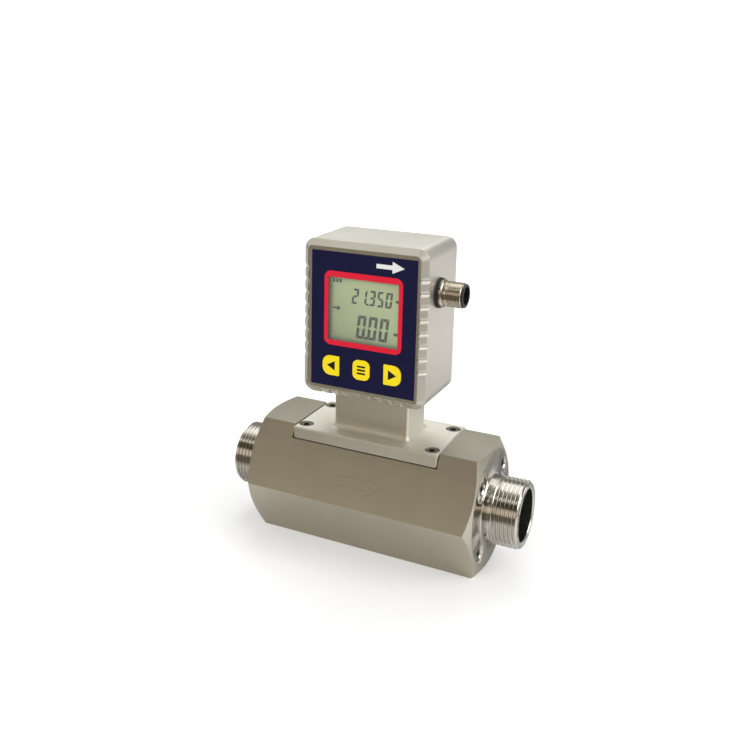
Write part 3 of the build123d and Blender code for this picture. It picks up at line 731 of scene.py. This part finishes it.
# The lit segments of the digits that are shown
SEGMENTS = {"0": "abcdef", "1": "bc", "2": "abged", "3": "abgcd", "5": "afgcd"}


def segment_digit(character, width, height, stroke):
    """Outlines of one seven-segment digit, from its lower left corner."""
    middle, half, right, top = height / 2, stroke / 2, width - stroke, height - stroke
    spans = {
        "a": [(stroke, top), (right, top), (width, height), (0, height)],
        "b": [(right, middle + half), (width, middle), (width, height), (right, top)],
        "c": [(right, stroke), (width, 0), (width, middle), (right, middle - half)],
        "d": [(0, 0), (width, 0), (right, stroke), (stroke, stroke)],
        "e": [(0, 0), (stroke, stroke), (stroke, middle - half), (0, middle)],
        "f": [(0, middle), (stroke, middle + half), (stroke, top), (0, height)],
    }
    lower = [(half, middle), (stroke, middle - half), (right, middle - half)]
    upper = [(width - half, middle), (right, middle + half), (stroke, middle + half)]
    spans["g"] = lower + upper
    return [inset(spans[key], stroke * 0.05) for key in SEGMENTS[character]]


def display_outlines(slant):
    """Outlines of all digits and marks that the display shows, in millimetres."""
    lean = sin(slant)
    outlines = []

    def show(outline, left, bottom):
        outlines.append([(left + u + lean * v, bottom + v) for u, v in outline])

    for text, left, bottom, width, height, advance, stroke in DISPLAY_ROWS:
        for character in text:
            if character == ".":
                size = stroke * 0.85
                show(rounded(0, 0, size, size, size * 0.25, 3), left - advance + width + 0.1, bottom)
                continue
            for outline in segment_digit(character, width, height, stroke):
                show(outline, left, bottom)
            left += advance
    return [*outlines, *DISPLAY_MARKS]


def key_legends():
    """Outlines of the two triangles and the three bars on the keys, in millimetres."""
    left = [(-x, z) for x, z in reversed(KEY_TRIANGLE)]
    bars = []
    for step in (-1, 0, 1):
        bottom = KEY_MIDDLE + step * BAR_STEP - BAR_HALF_HEIGHT
        top = bottom + 2 * BAR_HALF_HEIGHT
        bars.append(rounded(-BAR_HALF_LENGTH, bottom, BAR_HALF_LENGTH, top, BAR_CORNER, 3))
    return [left, KEY_TRIANGLE, *bars]


# Sizes that a cylinder and a countersunk screw both have, the latter's with flat_ before their names
SCREW_SIZES = ("Head radius", "Head height", "Edge", "Socket", "Socket depth", "Shank radius")


def screw_tree():
    """Screws with hexagon sockets on points, each facing along its point's attribute."""
    tree = bpy.data.node_groups.new("socket_screws", "GeometryNodeTree")
    nodes = Nodes(tree)
    kinds = {"Geometry": "NodeSocketGeometry", "Finish": "NodeSocketMaterial"}
    for label in ("Geometry", *SCREW_SIZES, "Seat radius", "Shank length", "Finish"):
        kind = kinds.get(label, "NodeSocketFloat")
        tree.interface.new_socket(label, in_out="INPUT", socket_type=kind)
    tree.interface.new_socket("Geometry", in_out="OUTPUT", socket_type=kinds["Geometry"])
    given = nodes.add("NodeGroupInput")
    head_radius, head_height, edge, socket, socket_depth, shank_radius = map(given.other, SCREW_SIZES)
    seat_radius, shank_length = map(given.other, ("Seat radius", "Shank length"))

    def cylinder(sides, radius, depth):
        values = {"Vertices": sides, "Radius": radius, "Depth": depth}
        return nodes.add("GeometryNodeMeshCylinder", {"fill_type": "NGON"}, values)

    def lift(geometry, height):
        offset = nodes.vector(0.0, 0.0, height)
        return nodes.add("GeometryNodeTransform", values={"Geometry": geometry, "Translation": offset})

    form = {"Radius Top": head_radius, "Radius Bottom": seat_radius, "Depth": head_height - edge}
    cone = nodes.add("GeometryNodeMeshCone", {"fill_type": "NGON"}, {"Vertices": 48, **form})
    rise = {"Mesh": cone, "Selection": cone.other("Top"), "Offset Scale": edge}
    crown = nodes.add("GeometryNodeExtrudeMesh", {"mode": "FACES"}, rise)
    taper = {"Selection": crown.other("Top"), "Scale": (head_radius - edge) / head_radius}
    head = nodes.add("GeometryNodeScaleElements", values={"Geometry": crown, **taper})
    hexagon = cylinder(6, socket / (2 * cos(radians(30))), socket_depth * 2.0)
    cut = nodes.add(
        "GeometryNodeMeshBoolean",
        {"operation": "DIFFERENCE", "solver": "EXACT"},
        {"Mesh 1": lift(head, -head_height), "Mesh 2": hexagon},
    )
    shank = cylinder(24, shank_radius, shank_length)
    screw = nodes.add("GeometryNodeJoinGeometry")
    for part in (cut, lift(shank, -head_height - shank_length * 0.5)):
        nodes.feed(screw.socket.node.inputs[0], part)
    vector = {"data_type": "FLOAT_VECTOR"}
    facing = nodes.add("GeometryNodeInputNamedAttribute", vector, {"Name": "facing"}, "Attribute")
    turn = nodes.add("FunctionNodeAlignRotationToVector", {"axis": "Z"}, {"Vector": facing})
    spread = {"Points": given, "Instance": screw, "Rotation": turn}
    placed = nodes.add("GeometryNodeInstanceOnPoints", values=spread)
    real = nodes.add("GeometryNodeRealizeInstances", values={"Geometry": placed})
    steel = {"Geometry": real, "Material": given.other("Finish")}
    dressed = nodes.add("GeometryNodeSetMaterial", values=steel)
    nodes.add("NodeGroupOutput", values={0: dressed})
    return tree


def grown(name, tree, spots, facing, inputs):
    """The plain mesh that a geometry tree makes from points that all face one way, as a piece."""
    base = bpy.data.meshes.new(name)
    base.from_pydata(spots, [], [])
    attribute = base.attributes.new("facing", "FLOAT_VECTOR", "POINT")
    attribute.data.foreach_set("vector", [*facing] * len(spots))
    holder = bpy.data.objects.new(name + "_points", base)
    bpy.context.scene.collection.objects.link(holder)
    modifier = holder.modifiers.new("tool", "NODES")
    modifier.node_group = tree
    for item in tree.interface.items_tree:
        if item.in_out == "INPUT" and item.name in inputs:
            modifier[item.identifier] = inputs[item.name]
    evaluated = holder.evaluated_get(bpy.context.evaluated_depsgraph_get())
    mesh = bpy.data.meshes.new_from_object(evaluated)
    holder.modifiers.remove(modifier)
    bpy.data.objects.remove(holder)
    bpy.data.meshes.remove(base)
    bm = bmesh.new()
    bm.from_mesh(mesh)
    bpy.data.meshes.remove(mesh)
    bmesh.ops.remove_doubles(bm, verts=bm.verts, dist=WELD)
    bmesh.ops.recalc_face_normals(bm, faces=bm.faces)
    return new_piece(name, bm, inputs["Finish"])


class FLOW_SENSOR_OT_milled_body(Operator):
    """Finish the hexagonal body and engrave its flow arrow"""

    bl_idname = "flow_sensor.milled_body"
    bl_label = "Milled body"

    def execute(self, context):
        sizes = context.scene.print_sizes
        colours = context.scene.sensor_colours
        dress(milled_steel(colours.milled), "flow_body")
        outline = in_metres(BODY_ARROW)
        shapes = [(outline, inset(outline, sizes.engraving))]
        finish = engraved_line(colours.engraved)
        height = sizes.engraving_height
        print_shapes("flow_arrow_mark", on_upper_facet, height, shapes, finish)
        return {"FINISHED"}


class FLOW_SENSOR_OT_pipe_ends(Operator):
    """Build both pipe ends with their threads"""

    bl_idname = "flow_sensor.pipe_ends"
    bl_label = "Pipe ends"
    columns = 96
    cut_gap = 0.02 * MM

    def execute(self, context):
        sizes = context.scene.pipe_end_sizes
        steel = turned_steel(context.scene.sensor_colours.turned)
        start = body_high.x + sizes.root + self.cut_gap
        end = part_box("outlet_connector")[1].x
        for node, side, turn in (("outlet_connector", 1, 0.0), ("inlet_connector", -1, pi)):
            tube = threaded_tube(sizes, start, end, sizes.edge, self.columns)
            place = Matrix.Translation((0, 0, PIPE_HEIGHT)) @ Matrix.Rotation(turn, 4, "Z")
            bm = joined(cut_and_closed(node, side * start, side), tube, place)
            piece = new_piece(node + "_threaded", bm, steel)
            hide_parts(node)
        return {"FINISHED"}


class FLOW_SENSOR_OT_socket_screws(Operator):
    """Build the socket screws of the base, the pipe ends and the rear cover"""

    bl_idname = "flow_sensor.socket_screws"
    bl_label = "Socket screws"

    def execute(self, context):
        sizes = context.scene.screw_sizes
        steel = plated(context.scene.sensor_colours.screws, "screw_steel", 0.24)
        tree = screw_tree()
        groups = (
            ("base_screws", Vector((0, 0, 1)), ""),
            ("inlet_connector_screws", Vector((-1, 0, 0)), ""),
            ("outlet_connector_screws", Vector((1, 0, 0)), ""),
            ("rear_cover_screws", Vector((0, 1, 0)), "flat_"),
        )
        for node, facing, flat in groups:
            boxes = islands(node)
            reach = abs((boxes[0][1] - boxes[0][0]).dot(facing))
            sink = sizes.flat_sink if flat else 0.0
            spots = [(low + high) / 2 + facing * (reach / 2 - sink) for low, high in boxes]
            names = [flat + label.lower().replace(" ", "_") for label in SCREW_SIZES]
            inputs = {label: getattr(sizes, name) for label, name in zip(SCREW_SIZES, names)}
            inputs["Seat radius"] = inputs["Shank radius" if flat else "Head radius"]
            inputs["Shank length"] = reach - inputs["Head height"]
            inputs["Finish"] = steel
            piece = grown(node + "_socketed", tree, spots, facing, inputs)
            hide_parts(node)
        return {"FINISHED"}


class FLOW_SENSOR_OT_sensor_base(Operator):
    """Finish the base plate with its neck, and the gaskets"""

    bl_idname = "flow_sensor.sensor_base"
    bl_label = "Sensor base"

    def execute(self, context):
        colours = context.scene.sensor_colours
        dress(satin_steel(colours.satin), "sensor_base")
        rubber = moulded(colours.rubber, "seal_rubber", 0.6, 1800.0)
        dress(rubber, "base_gasket", "neck_gasket", "rear_gasket", "connector_washer")
        dress(rubber, "inlet_seal", "outlet_seal", "probe_seal")
        return {"FINISHED"}


class FLOW_SENSOR_OT_display_head(Operator):
    """Finish the head housing and its rear cover"""

    bl_idname = "flow_sensor.display_head"
    bl_label = "Display head"

    def execute(self, context):
        coating = satin_steel(context.scene.sensor_colours.head, "head_coating", 3000.0, 0.36)
        dress(coating, "head_housing", "rear_cover")
        return {"FINISHED"}


class FLOW_SENSOR_OT_printed_film(Operator):
    """Finish the film and print its frame, legends and arrow"""

    bl_idname = "flow_sensor.printed_film"
    bl_label = "Printed film"
    key_margin = 0.05 * MM

    def execute(self, context):
        sizes = context.scene.print_sizes
        colours = context.scene.sensor_colours
        key_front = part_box("label_overlay")[0].y
        film_front = key_front + sizes.key_relief
        film = printed_film(colours.film, tuple(colours.keys), film_front - self.key_margin)
        dress(film, "label_overlay")
        outer = (sizes.frame_width, sizes.frame_bottom, sizes.frame_top, sizes.frame_corner)
        opening = (sizes.opening_width, sizes.opening_bottom, sizes.opening_top, sizes.opening_corner)
        band = [rounded(-half, low, half, high, corner) for half, low, high, corner in (outer, opening)]
        legends = [[in_metres(outline)] for outline in key_legends()]
        prints = (
            ("display_frame_print", film_front, [band], colours.red, "red_ink"),
            ("flow_direction_print", film_front, [[in_metres(FILM_ARROW)]], colours.white, "white_ink"),
            ("key_legends", key_front, legends, colours.black, "black_ink"),
        )
        for name, y, shapes, tint, ink in prints:
            print_shapes(name, on_front(y), sizes.ink, shapes, printed_ink(tint, ink))
        return {"FINISHED"}


class FLOW_SENSOR_OT_display(Operator):
    """Finish the display, its window and what it shows"""

    bl_idname = "flow_sensor.display"
    bl_label = "Display"

    def execute(self, context):
        sizes = context.scene.print_sizes
        colours = context.scene.sensor_colours
        dress(display_glass(tuple(colours.display), sizes), "lcd_panel")
        dress(clear_window(), "display_window")
        dress(moulded((0.75, 0.78, 0.7), "light_guide", 0.25, 600.0), "lcd_backlight")
        dress(moulded(colours.plastic, "black_frame", 0.4), "lcd_frame")
        place = on_front(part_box("lcd_panel")[0].y)
        shapes = [[in_metres(outline)] for outline in display_outlines(sizes.slant)]
        ink = printed_ink(colours.crystal, "dark_crystal")
        print_shapes("display_digits", place, sizes.ink, shapes, ink)
        return {"FINISHED"}


class FLOW_SENSOR_OT_round_plug(Operator):
    """Build the threaded shell of the round plug and finish what belongs to it"""

    bl_idname = "flow_sensor.round_plug"
    bl_label = "Round plug"
    columns = 64

    def execute(self, context):
        sizes = context.scene.plug_sizes
        colours = context.scene.sensor_colours
        low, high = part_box("connector_shell")
        tube = threaded_tube(sizes, sizes.start, high.x, 0.0, self.columns)
        place = Matrix.Translation((0, (low.y + high.y) / 2, (low.z + high.z) / 2))
        bm = joined(cut_and_closed("connector_shell", sizes.start), tube, place)
        nickel = plated(colours.nickel, "nickel", 0.16)
        piece = new_piece("connector_shell_threaded", bm, nickel)
        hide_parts("connector_shell")
        dress(nickel, "connector_nut")
        dress(moulded((0.015, 0.015, 0.015), "black_insert", 0.38), "connector_insert")
        dress(plated(colours.gold, "gold_contacts", 0.15), "connector_pins")
        dress(moulded(colours.leads, "lead_insulation", 0.4), "connector_leads")
        return {"FINISHED"}


class FLOW_SENSOR_OT_inside(Operator):
    """Finish the pieces inside the body and the head"""

    bl_idname = "flow_sensor.inside"
    bl_label = "Inside pieces"

    def execute(self, context):
        colours = context.scene.sensor_colours
        dress(circuit_board(colours.board), "main_board", "probe_board")
        plastic = moulded(colours.plastic, "black_plastic", 0.42)
        dress(plastic, "key_switches", "processor_chip", "ribbon_header", "leads_header", "probe_header")
        dress(moulded((0.5, 0.5, 0.48), "chip_ceramic", 0.5, 3500.0), "sensor_chip")
        dress(moulded((0.6, 0.6, 0.58), "ribbon_plastic", 0.4, 900.0), "sensor_ribbon")
        dress(satin_steel((0.6, 0.6, 0.6), "honeycomb_metal", 2500.0, 0.4), "flow_straightener")
        dress(turned_steel(colours.turned, "stem_steel"), "sensor_probe")
        dress(plated(colours.screws, "small_screws", 0.24), "board_screws", "neck_screws")
        return {"FINISHED"}


# Name, place, size in metres and power in watts of each lamp, and whether it shows in reflections
LAMPS = (
    ("top_lamp", (-0.15, 0.35, 0.7), 0.6, 1.7, True),
    ("right_lamp", (0.75, 0.1, 0.45), 0.5, 2.4, True),
    ("front_lamp", (-0.2, -0.85, 0.5), 0.5, 3.6, False),
)
LAMP_TARGET = Vector((0.0, 0.0, 0.07))

# Colours of the room by the angle above the horizon at the front, over the top and down to the back
PANELS = (
    (-90.0, (0.45, 0.43, 0.4)),
    (-24.0, (0.4, 0.38, 0.34)),
    (-18.0, (0.1, 0.08, 0.045)),
    (4.0, (0.1, 0.08, 0.045)),
    (9.0, (0.96, 0.85, 0.7)),
    (27.0, (0.94, 0.83, 0.68)),
    (34.0, (0.05, 0.04, 0.015)),
    (56.0, (0.06, 0.05, 0.02)),
    (59.0, (1.2, 1.17, 1.05)),
    (66.0, (1.2, 1.17, 1.05)),
    (70.0, (0.17, 0.16, 0.12)),
    (80.0, (0.26, 0.25, 0.2)),
    (88.0, (0.6, 0.59, 0.52)),
    (106.0, (0.86, 0.85, 0.78)),
    (130.0, (0.86, 0.85, 0.78)),
    (146.0, (0.3, 0.3, 0.27)),
    (180.0, (0.3, 0.3, 0.27)),
)


# What the room gives to rays that aren't mirrored
ROOM_GREY = (0.55, 0.55, 0.55)

FLOOR_HALF = 3.0
FLOOR_WHITE = (0.82, 0.82, 0.82)

# The camera that was fitted to the photograph, with its turns in degrees and its focal length in mm
CAMERA_PLACE = (0.17806, -0.41306, 0.24336)
CAMERA_TURNS = (28.493, 13.348, 0.270)
CAMERA_LENS = 45.38
CAMERA_SHIFT = (0.1, -0.13)


class FLOW_SENSOR_OT_stage(Operator):
    """Set the floor, the light and the camera"""

    bl_idname = "flow_sensor.stage"
    bl_label = "Stage"

    def execute(self, context):
        scene = context.scene
        scene.view_settings.view_transform = "Standard"
        self.world(scene)
        self.floor(scene)
        for lamp in LAMPS:
            self.lamp(scene, *lamp)
        self.camera(scene)
        return {"FINISHED"}

    def world(self, scene):
        """White for the camera; light and reflections come from a room of pale panels and dim gaps."""
        world = bpy.data.worlds.new("studio")
        scene.world = world
        world.use_nodes = True
        room = Nodes(world.node_tree)
        _, y, z = room.split(room.add("ShaderNodeTexCoord", out="Generated"))
        angle = room.math("ARCTAN2", z, -y)
        first = PANELS[0][0]
        span = PANELS[-1][0] - first
        stops = [((degrees - first) / span, tint) for degrees, tint in PANELS]
        spot = (angle - radians(first)) / radians(span)
        mirrored = room.add("ShaderNodeValToRGB", {"stops": stops}, {0: spot})
        seen, glossy = room.rays()
        shown = room.mix(seen, room.mix(glossy, ROOM_GREY, mirrored), WHITE)
        background = room.add("ShaderNodeBackground", values={"Color": shown})
        room.add("ShaderNodeOutputWorld", values={0: background})

    def floor(self, scene):
        """A wide white floor that keeps the object's shadow and mirrors as the room does."""
        bm = bmesh.new()
        corners = rectangle(-FLOOR_HALF, -FLOOR_HALF, FLOOR_HALF, FLOOR_HALF)
        bm.faces.new([bm.verts.new((x, y, 0.0)) for x, y in corners])
        mesh = bpy.data.meshes.new("floor")
        bm.to_mesh(mesh)
        bm.free()
        white = Finish("white_floor", FLOOR_WHITE, Roughness=0.6)
        seen, glossy = white.rays()
        x, y, _ = white.axes()
        distance = (x**2.0 + y**2.0) ** 0.5
        ahead = white.mix(distance.ramp(0.085, 0.14), (0.92, 0.9, 0.86), (0.12, 0.1, 0.06))
        behind = white.mix(distance.ramp(0.22, 0.32), (0.3, 0.295, 0.28), (0.86, 0.84, 0.81))
        around = white.mix(y.ramp(-0.02, 0.03), ahead, behind)
        beside = x.ramp(0.06, 0.12) * (1.0 - abs(y).ramp(0.05, 0.12))
        mirrored = white.mix(beside, around, (1.0, 0.99, 0.96))
        white.set("Base Color", white.mix(glossy, white.base, mirrored))
        glow = seen * (0.28 + distance.ramp(0.25, 1.1) * 0.7)
        white.set("Emission Color", white.mix(glow, (0.0, 0.0, 0.0), WHITE))
        white.set("Emission Strength", 1.0)
        mesh.materials.append(white.material)
        floor_piece = bpy.data.objects.new("floor", mesh)
        scene.collection.objects.link(floor_piece)

    def lamp(self, scene, name, place, size, power, mirrored):
        """A soft square lamp that faces the middle of the sensor."""
        lamp = bpy.data.lights.new(name, "AREA")
        lamp.shape = "SQUARE"
        lamp.size = size
        lamp.energy = power
        holder = bpy.data.objects.new(name, lamp)
        holder.location = place
        holder.rotation_euler = (LAMP_TARGET - Vector(place)).to_track_quat("-Z", "Y").to_euler()
        holder.visible_glossy = mirrored
        scene.collection.objects.link(holder)

    def camera(self, scene):
        """The photograph's view."""
        yaw, pitch, roll = map(radians, CAMERA_TURNS)
        ahead = Vector((-sin(yaw) * cos(pitch), cos(yaw) * cos(pitch), -sin(pitch)))
        level = Vector((cos(yaw), sin(yaw), 0.0))
        upright = level.cross(ahead)
        right = level * cos(roll) + upright * sin(roll)
        top = upright * cos(roll) - level * sin(roll)
        camera = bpy.data.cameras.new("camera")
        camera.lens = CAMERA_LENS
        camera.sensor_width = 36.0
        camera.shift_x, camera.shift_y = CAMERA_SHIFT
        camera.clip_start = 10.0 * MM
        holder = bpy.data.objects.new("camera", camera)
        turn = Matrix((right, top, -ahead)).transposed().to_4x4()
        holder.matrix_world = Matrix.Translation(CAMERA_PLACE) @ turn
        scene.collection.objects.link(holder)
        scene.camera = holder


OPERATORS = (
    FLOW_SENSOR_OT_milled_body,
    FLOW_SENSOR_OT_pipe_ends,
    FLOW_SENSOR_OT_socket_screws,
    FLOW_SENSOR_OT_sensor_base,
    FLOW_SENSOR_OT_display_head,
    FLOW_SENSOR_OT_printed_film,
    FLOW_SENSOR_OT_display,
    FLOW_SENSOR_OT_round_plug,
    FLOW_SENSOR_OT_inside,
    FLOW_SENSOR_OT_stage,
)
GROUPS = {
    "pipe_end_sizes": PipeEndSizes,
    "plug_sizes": PlugSizes,
    "screw_sizes": ScrewSizes,
    "print_sizes": PrintSizes,
    "sensor_colours": Colours,
}


class VIEW3D_PT_flow_sensor(Panel):
    """Sizes, colours and steps of the flow sensor"""

    bl_label = "Flow sensor"
    bl_space_type = "VIEW_3D"
    bl_region_type = "UI"
    bl_category = "Flow sensor"

    def draw(self, context):
        for key, group in GROUPS.items():
            box = self.layout.box()
            box.label(text=group.__doc__)
            values = getattr(context.scene, key)
            for name in group.__annotations__:
                box.prop(values, name)
        for operator in OPERATORS:
            self.layout.operator(operator.bl_idname)


def register():
    for group in GROUPS.values():
        bpy.utils.register_class(group)
    for key, group in GROUPS.items():
        setattr(bpy.types.Scene, key, PointerProperty(type=group))
    for kind in (*OPERATORS, VIEW3D_PT_flow_sensor):
        bpy.utils.register_class(kind)


def unregister():
    for kind in (VIEW3D_PT_flow_sensor, *reversed(OPERATORS)):
        bpy.utils.unregister_class(kind)
    for key, group in GROUPS.items():
        delattr(bpy.types.Scene, key)
        bpy.utils.unregister_class(group)


def main():
    """Register the sizes and build everything."""
    register()
    for operator in OPERATORS:
        group, name = operator.bl_idname.split(".")
        getattr(getattr(bpy.ops, group), name)()


if __name__ == "__main__":
    main()
